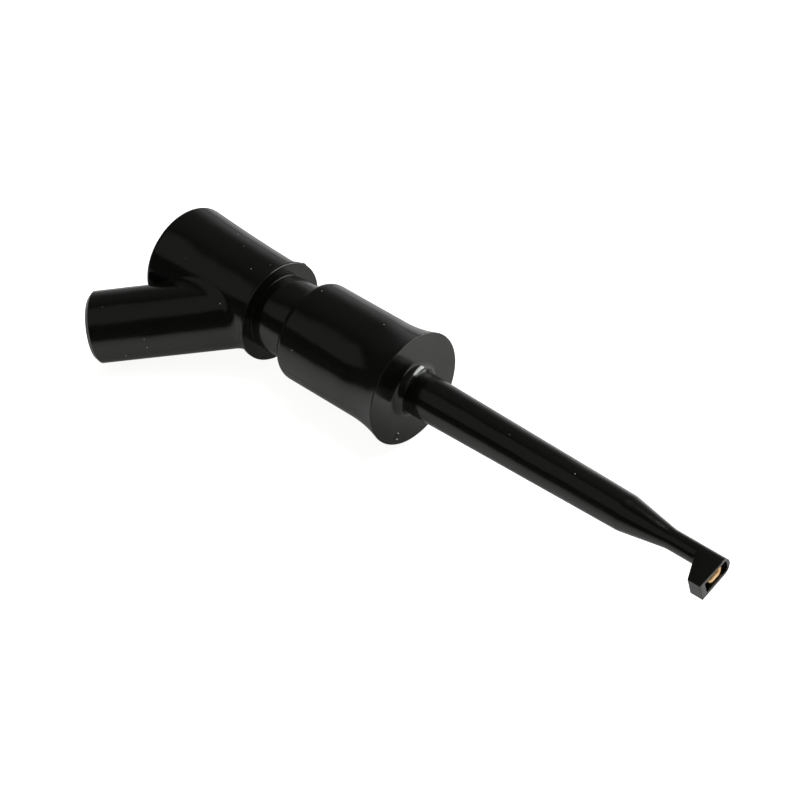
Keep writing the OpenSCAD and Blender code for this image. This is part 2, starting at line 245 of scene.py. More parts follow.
def swing(start, stop, steps):
    """Directions from one to another along the shorter arc: sines of the two shares of the angle between them
    weigh the two ends, over the sine of the whole angle. The steps become the first axis."""
    angle = np.arccos(np.clip(np.sum(start * stop, axis=-1, keepdims=True), -1, 1))
    share = np.linspace(0, 1, steps).reshape(-1, *[1] * start.ndim)
    whole = np.sin(angle)
    bent = (np.sin((1 - share) * angle) * start + np.sin(share * angle) * stop) / np.where(whole > 1e-6, whole, 1)
    return np.where(whole > 1e-6, bent, (1 - share) * start + share * stop)


def soft_profile(corners, radii, steps=9, support=0.1 * MM):
    """A line of points (along, out) whose corners are arcs. Each arc's centre is on the corner's bisector, at the
    radius over the sine of half the corner's angle. Long straight runs get a point close to each end, so that the
    shading of an arc doesn't spread along them."""
    corners = np.array(corners, float)
    radii = np.array(radii, float)[1:-1, None]
    here = corners[1:-1]
    back, on = unit(corners[:-2] - here), unit(corners[2:] - here)
    half = np.arccos(np.clip(np.sum(back * on, axis=1, keepdims=True), -1, 1)) / 2
    bisector = back + on
    size = np.linalg.norm(bisector, axis=1, keepdims=True)
    centre = here + np.where(size > 1e-9, bisector / np.maximum(size, 1e-9), 0) * radii / np.sin(half)
    reach = radii / np.tan(half)
    away = [unit(here + side * reach - centre + 1e-15) for side in (back, on)]
    arcs = centre + radii * swing(*away, steps)
    points = np.concatenate([corners[:1], arcs.transpose(1, 0, 2).reshape(-1, 2), corners[-1:]])
    keep = np.append(True, np.linalg.norm(np.diff(points, axis=0), axis=1) > 1e-8)
    points = points[keep]
    run = np.append(0, np.cumsum(np.linalg.norm(np.diff(points, axis=0), axis=1)))
    long = np.diff(run) > 4 * support
    more = np.sort(np.concatenate([run, run[:-1][long] + support, run[1:][long] - support]))
    return np.stack([np.interp(more, run, points[:, 0]), np.interp(more, run, points[:, 1])], axis=1)


def ring_angles(count, seam):
    """Angles round the main axis from the hook's side, a full turn of even steps, with one more close to each side
    of the two parting lines."""
    even = np.linspace(-np.pi, np.pi, count, endpoint=False)
    return np.sort(np.concatenate([even, [seam - np.pi, -seam, seam, np.pi - seam]]))


def full_turn(count):
    """Even angles round a full turn."""
    return np.linspace(0, 2 * np.pi, count, endpoint=False)


def at_angle(along, out, angles):
    """Points at a place along the main axis, a distance out from it and an angle from the hook's side."""
    return np.stack(np.broadcast_arrays(along, -out * np.cos(angles), out * np.sin(angles)), axis=-1)


def turned(profile, angles, proud=0.0):
    """Surface of revolution: every point of the profile at every angle. A column array may add to the radius."""
    return at_angle(profile[:, :1], profile[:, 1:] + proud, angles)


def wall_faces(rows, columns, first, closed):
    """Four-cornered faces between neighbours of a grid of points, which may close on itself sideways."""
    index = first + np.arange(rows * columns).reshape(rows, columns)
    if closed:
        index = np.concatenate([index, index[:, :1]], axis=1)
    return np.stack([index[:-1, :-1], index[1:, :-1], index[1:, 1:], index[:-1, 1:]], axis=-1).reshape(-1, 4)


def placed(points):
    """From the clip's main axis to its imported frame: a turn about X by the lying angle, then a move to the flange's
    middle."""
    c, s = math.cos(LIE_ANGLE), math.sin(LIE_ANGLE)
    middle = (GRIP_LOW + GRIP_HIGH) / 2
    front = GRIP_LOW[0] + bpy.context.scene.hook_clip.grip.barrel_length
    x, y, z = np.moveaxis(points, -1, 0)
    return np.stack([x + front, c * y - s * z + middle[1], s * y + c * z + middle[2]], axis=-1)


def stand(name, data):
    """A new object in the scene."""
    made = bpy.data.objects.new(name, data)
    bpy.context.scene.collection.objects.link(made)
    return made


def welded(name, points, faces, gap=2e-7):
    """A mesh whose points closer than a gap are one and whose faces look outwards, and how many of its edges don't
    join two faces."""
    mesh = bpy.data.meshes.new(name)
    mesh.from_pydata(points.reshape(-1, 3).tolist(), [], faces.tolist())
    shell = bmesh.new()
    shell.from_mesh(mesh)
    bmesh.ops.remove_doubles(shell, verts=shell.verts, dist=gap)
    bmesh.ops.recalc_face_normals(shell, faces=shell.faces)
    loose = sum(not edge.is_manifold for edge in shell.edges)
    shell.to_mesh(mesh)
    shell.free()
    return mesh, loose


def make_piece(name, grids, body, material, replaced, sharp=34):
    """Joins grids of points, each with a mark for one that closes sideways, into one closed shell on a body."""
    counts = np.cumsum([0] + [grid.shape[0] * grid.shape[1] for grid, _ in grids])
    points = np.concatenate([grid.reshape(-1, 3) for grid, _ in grids])
    faces = np.concatenate([
        wall_faces(*grid.shape[:2], first, closed) for (grid, closed), first in zip(grids, counts)])
    mesh, loose = welded(name, placed(points), faces)
    if loose:
        raise RuntimeError(f"{name} has {loose} edges that don't join two faces")
    mesh.polygons.foreach_set("use_smooth", np.ones(len(mesh.polygons), bool))
    mesh.set_sharp_from_angle(angle=math.radians(sharp))
    mesh.materials.append(material)
    piece = stand(name, mesh)
    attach(piece, body)
    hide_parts(replaced)
    return piece


def add(tree, kind, inputs=None, **settings):
    """Adds one node to a tree: fields first, then sockets, each with a value or a link."""
    made = tree.nodes.new(kind)
    for field, value in settings.items():
        setattr(made, field, value)
    for socket, value in (inputs or {}).items():
        if isinstance(value, bpy.types.NodeSocket):
            tree.links.new(value, made.inputs[socket])
        else:
            made.inputs[socket].default_value = value
    return made


def reckon(tree, operation, first, *others):
    """Values joined one after another by an operation, each a number or a link."""
    for other in others:
        first = add(tree, "ShaderNodeMath", {0: first, 1: other}, operation=operation).outputs["Value"]
    return first


def ramp(tree, value, low, high, first=0.0, last=1.0, soft=True):
    """Goes from first to last while a value goes from low to high, and stays there past its ends. A soft ramp has
    no kinks."""
    return add(tree, "ShaderNodeMapRange", {
        "Value": value, "From Min": low, "From Max": high, "To Min": first, "To Max": last},
        interpolation_type="SMOOTHSTEP" if soft else "LINEAR").outputs["Result"]


def reach_along(tree, vector, direction):
    """How far a vector reaches along a direction: their dot product."""
    return add(tree, "ShaderNodeVectorMath", {0: vector, 1: direction}, operation="DOT_PRODUCT").outputs["Value"]


def clouds(tree, place, width, detail, roughness=0.5):
    """Noise whose clouds are so many millimetres wide."""
    return add(tree, "ShaderNodeTexNoise", {
        "Vector": place, "Scale": per_mm(width), "Detail": detail, "Roughness": roughness}).outputs["Fac"]


def colour_between(tree, share, first, last):
    """Two colours mixed by a share. The first may be a link."""
    start = first if isinstance(first, bpy.types.NodeSocket) else (*first, 1)
    return add(tree, "ShaderNodeMix", {"Factor": share, 6: start, 7: (*last, 1)}, data_type="RGBA").outputs[2]


def value_between(tree, share, first, last):
    """Two values mixed by a share."""
    return add(tree, "ShaderNodeMix", {"Factor": share, 2: first, 3: last}, data_type="FLOAT").outputs[0]


def bump(tree, height, millimetres, **under):
    """Shading of a surface raised by a pattern, by so many millimetres at most, over another bump or none."""
    return add(tree, "ShaderNodeBump", {
        "Height": height, "Strength": 1.0, "Distance": millimetres * MM, **under}).outputs["Normal"]


def start_material(name):
    """An empty material and its nodes, or the one that is there already and None."""
    if name in bpy.data.materials:
        return bpy.data.materials[name], None
    material = bpy.data.materials.new(name)
    material.use_nodes = True
    material.node_tree.nodes.clear()
    return material, material.node_tree


def per_mm(millimetres):
    """Texture scale at which one cell of a pattern is so many millimetres wide."""
    return 1 / (millimetres * MM)


def moulded_plastic():
    """Injection-moulded black plastic, high gloss. The eye gets a deep black that shows only reflections: slow waves
    where the walls sank, a faint skin ripple, cloudy gloss from handling, and a few specks of dust."""
    material, tree = start_material("black plastic, gloss moulded")
    if tree is None:
        return material
    colours = bpy.context.scene.hook_clip.colours
    place = add(tree, "ShaderNodeTexCoord").outputs["Object"]

    # Dust: pale matt specks about 0.1 mm wide, in three of ten cells 1.1 mm wide
    cells = add(tree, "ShaderNodeTexVoronoi", {"Vector": place, "Scale": per_mm(1.1)})
    draw = add(tree, "ShaderNodeSeparateColor", {"Color": cells.outputs["Color"]}).outputs["Red"]
    near = ramp(tree, cells.outputs["Distance"], 0.035, 0.075, 1.0, 0.0, soft=False)
    clean_share, dust_roughness = 0.7, 0.75
    speck = reckon(tree, "MULTIPLY", near, reckon(tree, "GREATER_THAN", draw, clean_share))

    # Pigment: clouds 9 mm wide, hardly seen. Gloss: clouds 5 mm wide that blur the reflections here and there
    black = colour_between(tree, clouds(tree, place, 9, 2.0), colours.plastic_deep, colours.plastic_light)
    gloss = ramp(tree, clouds(tree, place, 5, 4.0, 0.6), 0.35, 0.7, 0.13, 0.2, soft=False)

    # Skin: sunk walls bend the reflections in waves 7 mm wide, and a ripple 0.9 mm wide roughens their edges
    sunk = bump(tree, clouds(tree, place, 7, 1.0), 0.2)
    skin = bump(tree, clouds(tree, place, 0.9, 2.0), 0.006, Normal=sunk)

    # The tint of the reflections gives the black its green cast
    shader = add(tree, "ShaderNodeBsdfPrincipled", {
        "Base Color": colour_between(tree, speck, black, colours.dust),
        "Roughness": value_between(tree, speck, gloss, dust_roughness),
        "IOR": 1.58, "Specular Tint": (0.97, 1.0, 0.935, 1.0), "Normal": skin})
    add(tree, "ShaderNodeOutputMaterial", {"Surface": shader.outputs["BSDF"]})
    return material


def metal(name, colour, rough, line_width, line_height, turning=(0, 0, 0)):
    """Metal whose lathe or drawing lines run round an axis: a noise of one coordinate, the place along that axis,
    gives the lines, and clouds 1.7 mm wide give the dull patches. rough is the range of roughness from line to line,
    line_width and line_height are in millimetres, and turning is the Euler turn that brings the axis to X."""
    material, tree = start_material(name)
    if tree is None:
        return material
    colours = bpy.context.scene.hook_clip.colours
    place = add(tree, "ShaderNodeTexCoord").outputs["Object"]
    lined = add(tree, "ShaderNodeMapping", {"Vector": place, "Rotation": turning}, vector_type="POINT")
    along = add(tree, "ShaderNodeSeparateXYZ", {"Vector": lined.outputs["Vector"]})
    lines = add(tree, "ShaderNodeTexNoise", {
        "W": along.outputs["X"], "Scale": per_mm(line_width), "Detail": 3.0, "Roughness": 0.6},
        noise_dimensions="1D").outputs["Fac"]
    patches = ramp(tree, clouds(tree, place, 1.7, 4.0), 0.42, 0.72, 0.0, 0.8, soft=False)
    shader = add(tree, "ShaderNodeBsdfPrincipled", {
        "Base Color": colour_between(tree, patches, getattr(colours, colour), getattr(colours, colour + "_dull")),
        "Metallic": 1.0, "Roughness": ramp(tree, lines, 0.3, 0.7, *rough, soft=False),
        "Normal": bump(tree, lines, line_height)})
    add(tree, "ShaderNodeOutputMaterial", {"Surface": shader.outputs["BSDF"]})
    return material


def plug_turning():
    """Euler turn that brings the socket's axis to X."""
    turn = Vector(PLUG["axis"]).rotation_difference(Vector((1, 0, 0)))
    return tuple(turn.to_euler())


class CLIP_OT_grip(bpy.types.Operator):
    """Barrel, flange, nose and hook head of the grip, one moulding"""
    bl_idname = "hook_clip.grip"
    bl_label = "Grip Moulding"

    def execute(self, context):
        g = context.scene.hook_clip.grip
        angles = ring_angles(RING_STEPS, math.radians(0.9))
        nose = GRIP_HIGH[0] - GRIP_LOW[0] - g.barrel_length
        head_rear = nose - g.head_thickness - g.head_slope
        cone_end = head_rear - g.tube_length
        tube_mid = head_rear - g.tube_length / 2

        # Flare: an arc that leaves the barrel tangentially and ends at the rim
        step = g.flange_radius - g.barrel_radius
        run = g.flare_length - g.rim_width
        bend = (run * run + step * step) / (2 * step)
        swept = np.linspace(0, math.asin(run / bend), 25)
        flare = np.stack([bend * np.sin(swept) - g.flare_length,
                          g.barrel_radius + bend * (1 - np.cos(swept))], axis=1)
        e = g.edge_round
        back = soft_profile(
            [(-g.barrel_length, g.bore_radius + g.mouth_chamfer), (-g.barrel_length, g.barrel_radius),
             *flare, (0, g.flange_radius), (0, g.flange_radius - 2 * e)],
            [0, g.rear_round, *[0] * (len(flare) - 1), 0.4 * e, 0.4 * e, 0])
        face_out, face_in = back[-1, 1], g.shaft_root + 2 * g.root_fillet
        front = soft_profile(
            [(0, face_in), (0, g.shaft_root), (g.shaft_length, g.shaft_tip), (cone_end, g.tube_radius),
             (tube_mid, g.tube_radius)],
            [0, g.root_fillet, g.cone_edge, g.cone_hollow, 0], steps=21)

        # Parting line: the mould's lower half stands proud, most at the barrel's rear, and fades within a few degrees
        fade, seam_start, seam_run, shaft_share = math.radians(7), -8 * MM, 4 * MM, 0.25
        lower = np.where(angles > 0, angles - np.pi, angles)
        near_line = np.maximum(np.exp(lower / fade), np.exp(-(lower + np.pi) / fade))
        seam = g.seam_step * near_line * ((angles <= 0) | (angles == np.pi))
        behind, ahead = back[:, :1], front[:, :1]
        on_barrel = np.clip((seam_start - behind) / seam_run, 0, 1) * (behind > -g.barrel_length + g.rear_round)
        on_shaft = shaft_share * ((ahead > 1.5 * g.root_fillet) & (ahead < g.shaft_length))

        # Gate mark: a broken-off nub, low in the middle and raised at its edge, in a patch of the flange's face
        gate, middle, mark = -math.pi / 4, 5.5 * MM, 0.46 * MM
        crest, crest_width, crest_height = 0.72, 0.16, 0.12 * MM
        reach = math.radians(15)
        lengths = np.linspace(face_out, face_in, 20)
        plain = np.abs((angles - gate + np.pi) % (2 * np.pi) - np.pi) >= reach - 1e-6
        order = np.argsort((angles[plain] - gate) % (2 * np.pi))
        patch = angles[np.abs(angles - gate) <= reach + 1e-6]
        outline, turns = patch_outline(patch, lengths, math.radians(45), math.radians(135))
        rim = np.stack([gate + mark * np.sin(turns) / middle, middle + mark * np.cos(turns)], axis=1)
        nub_r = np.linspace(1, 0, 14)[:, None]
        uneven = 1 + 0.5 * np.sin(turns * 2 + 1)
        nub_h = crest_height * np.exp(-((nub_r - crest) / crest_width) ** 2) * uneven * (nub_r < 1)
        nub = at_angle(nub_h, middle + mark * nub_r * np.cos(turns), gate + mark * nub_r * np.sin(turns) / middle)

        # Hook head: a tube that grows a foot, with a slot in its front face that leads to the wire's bore. The foot has
        # its full width halfway up the slope behind it, and its sharp corners sooner
        tr, hw, wg = g.tube_radius, g.head_width / 2, g.wire_guide
        c, heel, wide_at, sharp_at = 0.5 * e, 0.2 * MM, 0.5, 0.3
        line = soft_profile(
            [(tube_mid, tr), (head_rear, tr), (head_rear + g.head_slope, g.head_reach), (nose - c, g.head_reach)],
            [0, heel, c, 0])
        grown = np.clip((line[:, 0] - head_rear) / g.head_slope, 0, 1)
        width = tr + (hw - tr) * np.clip(grown / wide_at, 0, 1)
        corner = np.minimum(line[:, 1], tr + (c - tr) * np.clip(grown / sharp_at, 0, 1))
        lap = np.linspace(0, np.pi / 2, 8)[1:]
        inset = c * (1 - np.cos(lap)) * 0.98  # a little short, so that the corners keep a radius
        edge = np.linspace(0, np.pi / 2, 6)
        lip, sunk = c * (1 - np.sin(edge)), c * (1 - np.cos(edge))
        floor = nose - g.slot_depth
        slot = (g.slot_end, g.slot_width / 2, g.slot_corner, g.slot_width / 2, g.slot_reach, c)
        sections = np.concatenate([
            np.stack([line[:, 0], *[np.full(len(line), tr)] * 3, width, line[:, 1], corner], axis=1),
            np.stack([nose - c + c * np.sin(lap), *[tr - inset] * 3, hw - inset, g.head_reach - inset, c - inset],
                     axis=1),
            np.stack([nose - sunk, *[size + lip for size in slot]], axis=1),
            [(nose - e, *slot), (floor + e / 2, *slot), (floor, *slot), (floor, *[wg] * 6), (cone_end, *[wg] * 6)]])
        guide = soft_profile(
            [(cone_end, wg), (g.shaft_length, g.rod_guide), (-g.front_wall, g.rod_guide),
             (-g.front_wall, g.pocket_radius), (-g.front_wall - g.spring_pocket, g.pocket_radius),
             (-g.front_wall - g.spring_pocket, g.bore_radius), (g.mouth_chamfer - g.barrel_length, g.bore_radius),
             (-g.barrel_length, g.bore_radius + g.mouth_chamfer)], [0] * 8)
        make_piece("grip_moulding", [
            (turned(back, angles, on_barrel * seam), True),
            (at_angle(0.0, lengths[:, None], angles[plain][order]), False),
            (flat_patch(outline, rim, 16, lambda angle, out: at_angle(0.0, out, angle)), True),
            (nub, True),
            (turned(front, angles, on_shaft * seam), True),
            (head_sections(sections, angles), True),
            (turned(guide, angles), True),
        ], "grip", moulded_plastic(), "grip_body")
        return {"FINISHED"}


def patch_outline(angles, lengths, near, far):
    """The four sides of a patch, in turn: first length, last angle, last length, first angle. With each point comes
    the turn round the patch's hole that it is joined to, up to near on the first side and from far on the third."""
    sides = [np.stack(np.broadcast_arrays(*side), axis=1) for side in (
        (angles, lengths[0]), (angles[-1], lengths[1:-1]), (angles[::-1], lengths[-1]), (angles[0], lengths[-2:0:-1]))]
    between = np.linspace(near, far, len(lengths))[1:-1]
    rear = np.linspace(far, 2 * np.pi - far, len(angles))
    turns = [np.linspace(-near, near, len(angles)), between, rear, 2 * np.pi - between[::-1]]
    return np.concatenate(sides), np.concatenate(turns)


def flat_patch(outline, rim, rows, place):
    """A patch with a hole: straight lines from the outline to the hole's rim in the flat picture of angle and length,
    put on the real surface by place."""
    share = np.linspace(0, 1, rows)[:, None, None]
    flat = (1 - share) * outline + share * rim
    return place(flat[..., 0], flat[..., 1])


def head_sections(sections, angles):
    """Hook head from sections: place, then for the axis side and for the hook's side how far the section reaches from
    the axis, its half width and its corner radius, with the hook's half width before its reach. Each section is four
    corner arcs joined by straight lines, and a circle where reach, half width and radius are the same."""
    quarter = np.pi / 2
    ends = ((-np.pi, -quarter), (-quarter, 0), (0, 0), (0, quarter), (quarter, np.pi))
    parts = [angles[(angles >= low - 1e-9) & (angles <= high + 1e-9)] for low, high in ends]
    turn = np.concatenate(parts)
    hook = np.concatenate([np.full(len(part), mark) for part, mark in zip(parts, (False, True, True, True, False))])
    side = np.concatenate([np.full(len(part), mark) for part, mark in zip(parts, (-1, -1, 0, 1, 1))])
    along, end, end_width, end_corner, width, reach, corner = (sections[:, k:k + 1] for k in range(7))
    out = np.where(hook, corner, end_corner)
    y = np.where(hook, corner - reach, end - end_corner) - out * np.cos(turn)
    z = side * (np.where(hook, width, end_width) - out) + out * np.sin(turn)
    return np.stack(np.broadcast_arrays(along, y, z), axis=-1)


def arm_frame(turns):
    """Where the side arm's axis starts, its direction, and the directions out from it at some turns."""
    ahead = np.array([-math.cos(ARM_ANGLE), -math.sin(ARM_ANGLE), 0])
    across = np.array([math.sin(ARM_ANGLE), -math.cos(ARM_ANGLE), 0])
    out = np.cos(turns)[:, None] * across + np.sin(turns)[:, None] * np.array([0, 0, 1])
    return np.array([-bpy.context.scene.hook_clip.plunger.arm_place, 0, 0]), ahead, out


class CLIP_OT_plunger(bpy.types.Operator):
    """Stem, shoulder, cup and side arm of the plunger, one moulding"""
    bl_idname = "hook_clip.plunger"
    bl_label = "Plunger Moulding"

    def execute(self, context):
        p = context.scene.hook_clip.plunger
        grip = context.scene.hook_clip.grip
        angles = ring_angles(RING_STEPS, math.radians(0.5))
        e = grip.edge_round
        shoulder, rear = -p.shoulder_place, -p.shoulder_place - p.cup_length
        cone_start = -p.shoulder_place - p.lip_width / 2
        slope = (p.cup_rear_radius - p.cup_front_radius) / (cone_start - rear)
        lip_end = shoulder - p.lip_width
        root = p.cup_front_radius + slope * (cone_start - lip_end)
        room_rear = p.web - p.hollow_front

        # Stem and shoulder, with a nub of flash on the lip's far side
        stem = soft_profile(
            [(-p.stem_front, grip.pocket_radius), (-p.stem_front, p.stem_radius), (shoulder, p.stem_radius),
             (shoulder, p.lip_radius), (lip_end, p.lip_radius), (lip_end, root), (lip_end - e, root + slope * e)],
            [0, 1.5 * e, 0.2 * e, 0.7 * e, 0.6 * e, 0.5 * e, 0])
        on_lip = stem[:, 1] > p.lip_radius - 0.3 * e
        nub_height, nub_angle, nub_width = 0.14 * MM, math.radians(151), math.radians(1.6)
        flash = nub_height * np.exp(-((angles - nub_angle) / nub_width) ** 2)

        # Cup: a slightly hollow cone with a rounded rear edge, as one line that is measured along its length
        front = stem[-1, 0]

        def cup_radius(place):
            """Straight cone less a parabola that is deepest halfway along the cup."""
            share = (place - rear) / (front - rear)
            return p.cup_rear_radius - slope * (place - rear) - 4 * p.cup_sag * share * (1 - share)

        def cup_fall(place):
            """How fast the cup's radius falls towards the front."""
            return slope + 4 * p.cup_sag * (1 - 2 * (place - rear) / (front - rear)) / (front - rear)

        wall = np.linspace(front, rear, 25)
        cone = soft_profile(
            [*np.stack([wall, cup_radius(wall)], axis=1), (rear, p.cup_rear_radius - 1.2 * p.cup_round)],
            [*[0] * (len(wall) - 1), p.cup_round, 0], steps=25)
        line = np.append(0, np.cumsum(np.linalg.norm(np.diff(cone, axis=0), axis=1)))
        rows = np.sort(np.unique(np.concatenate([np.linspace(0, line[-1], 30), line[-26::3], line[[1, -1]]])))

        def on_cup(angle, run):
            return at_angle(np.interp(run, line, cone[:, 0]), np.interp(run, line, cone[:, 1]), angle)

        def on_hollow(angle, run):
            return at_angle(run, p.hollow_radius, angle)

        # Rolling fillet: a ball touches arm and cup, and its centre is found along the arm by halving
        edge, sides = math.radians(75), (math.radians(60), math.radians(125))
        patch = angles[np.abs(angles) <= edge + 1e-6]
        around = angles[np.abs(angles) >= edge - 1e-6]
        around = around[np.argsort(around % (2 * np.pi))]
        outline, turns = patch_outline(patch, rows, *sides)
        start, ahead, out = arm_frame(turns)
        crotch, widening = math.radians(140), math.radians(60)
        from_front = np.abs((turns + np.pi) % (2 * np.pi) - np.pi)
        open_share = np.clip((crotch - from_front) / widening, 0, 1)
        ball = p.crotch_fillet + (p.front_fillet - p.crotch_fillet) * open_share ** 2 * (3 - 2 * open_share)
        normal = unit(np.array([cup_fall(rear), 1.0]))
        heart = np.array([rear + p.cup_round, p.cup_rear_radius - p.cup_round * (cup_fall(rear) + 1 / normal[1])])

        def from_cup(points):
            """Distance of points from the cup's skin, and the skin's direction there: from the foot of each point on
            the wall, or past the wall's end from the ring that the rear rounding is struck from."""
            place, radius = points[:, 0], np.hypot(points[:, 1], points[:, 2])
            offset = np.stack([place, radius], axis=1) - heart
            straight = offset @ np.array([-normal[1], normal[0]]) <= 0
            fall = cup_fall(place)
            foot = place - (radius - cup_radius(place)) * fall / (1 + fall ** 2)
            upright = unit(np.stack([cup_fall(foot), np.ones(len(foot))], axis=1))
            above = (np.stack([place - foot, radius - cup_radius(foot)], axis=1) * upright).sum(axis=1)
            away = np.where(straight[:, None], upright, unit(offset))
            gap = np.where(straight, above, np.linalg.norm(offset, axis=1) - p.cup_round)
            return gap, np.stack([away[:, 0], *(away[:, 1:] * points[:, 1:] / radius[:, None]).T], axis=1)

        low, high = np.full(turns.shape, -2 * MM), np.full(turns.shape, p.arm_length * 1.2)
        halvings = 50
        for _ in range(halvings):
            middle = (low + high) / 2
            centre = start + middle[:, None] * ahead + (p.arm_radius + ball)[:, None] * out
            outside = from_cup(centre)[0] > ball
            low, high = np.where(outside, low, middle), np.where(outside, middle, high)
        skin = from_cup(centre)[1]
        touch = centre - ball[:, None] * skin
        rim = np.stack([np.arctan2(touch[:, 2], -touch[:, 1]),
                        np.interp(-touch[:, 0], -cone[:, 0], line)], axis=1)
        fillet = centre - ball[:, None] * swing(skin, out, 14)
        fillet[0] = on_cup(rim[:, 0], rim[:, 1])

        # Arm: straight lines from the fillet to the bevelled end, then the bore down to the hollow
        bore = p.arm_bore * out + start
        b, c = bore[:, 1] * ahead[1], bore[:, 1] ** 2 + bore[:, 2] ** 2 - p.hollow_radius ** 2
        inner = (np.sqrt(b * b - ahead[1] ** 2 * c) - b) / ahead[1] ** 2
        tip = p.arm_length - 5 * p.arm_bevel_run
        end = soft_profile(
            [(tip, p.arm_radius), (p.arm_length - p.arm_bevel_run, p.arm_radius),
             (p.arm_length, p.arm_radius - p.arm_bevel_drop), (p.arm_length, p.arm_bore), (tip, p.arm_bore)],
            [0, 0.5 * e, e, 1.5 * e, 0])
        shares = np.array([0, 0.004, 0.05, 0.15, 0.3, 0.5, 0.75])[:, None]
        base = middle[None] + (end[0, 0] - middle) * shares
        arm_s = np.concatenate([base, np.repeat(end[:, :1], len(turns), axis=1), inner[None]])
        arm_r = np.concatenate([np.full((len(base), 1), p.arm_radius), end[:, 1:], [[p.arm_bore]]])
        arm = start + arm_s[..., None] * ahead + arm_r[..., None] * out
        fillet[-1] = arm[0]
        hole = np.stack([np.arctan2(arm[-1, :, 2], -arm[-1, :, 1]), arm[-1, :, 0]], axis=1)

        # Rear seat of the thumb cap, the hollow, the web and the spring's room
        seat = soft_profile(
            [cone[-1], (rear, p.cap_seat_radius), (rear + p.cap_thickness, p.cap_seat_radius),
             (rear + p.cap_thickness, p.hollow_radius), (rear + p.cap_thickness + e, p.hollow_radius)],
            [0, e, 0, 0, 0])
        inside = np.linspace(seat[-1, 0], -p.hollow_front - e, len(rows))[::-1]
        inner_outline = patch_outline(patch, inside, *sides)[0]
        room = soft_profile(
            [(-p.hollow_front - e, p.hollow_radius), (-p.hollow_front, p.hollow_radius), (-p.hollow_front, p.rod_hole),
             (room_rear, p.rod_hole), (room_rear, grip.pocket_radius), (-p.stem_front, grip.pocket_radius)], [0] * 6)
        make_piece("plunger_moulding", [
            (turned(stem, angles, on_lip[:, None] * flash), True),
            (on_cup(around, rows[:, None]), False),
            (flat_patch(outline, rim, 26, on_cup), True),
            (fillet, True),
            (arm, True),
            (turned(seat, angles), True),
            (on_hollow(around, inside[:, None]), False),
            (flat_patch(inner_outline, hole, 12, on_hollow), True),
            (turned(room, angles), True),
        ], "slider", moulded_plastic(), "plunger")
        return {"FINISHED"}


class CLIP_OT_cap(bpy.types.Operator):
    """Thumb cap that closes the cup, dished for the thumb"""
    bl_idname = "hook_clip.cap"
    bl_label = "Thumb Cap"

    def execute(self, context):
        p = context.scene.hook_clip.plunger
        e = context.scene.hook_clip.grip.edge_round
        rear = -p.shoulder_place - p.cup_length
        ball = (p.dish_radius ** 2 + p.dish_depth ** 2) / (2 * p.dish_depth)
        swept = np.linspace(0, math.asin(p.dish_radius / ball), 30)
        dish = np.stack([rear + p.dish_depth - ball * (1 - np.cos(swept)), ball * np.sin(swept)], axis=1)
        side, spigot = p.cap_seat_radius - p.seat_gap, p.hollow_radius - p.seat_gap
        under, end = rear + p.cap_thickness - p.seat_gap, rear + p.cap_thickness + p.spigot_length
        profile = soft_profile(
            [*dish, (rear, side), (under, side), (under, spigot), (end, spigot), (end, 0)],
            [*[0] * (len(dish) - 1), 2 * e, e, 0, 0, e, 0])
        make_piece("thumb_cap_moulding", [(turned(profile, ring_angles(128, 0.01)), True)],
                   "slider", moulded_plastic(), "thumb_cap")
        return {"FINISHED"}


def along_arm(profile, turns):
    """Surface of revolution round the side arm's axis."""
    start, ahead, out = arm_frame(turns)
    return start + profile[:, None, :1] * ahead + profile[:, None, 1:] * out


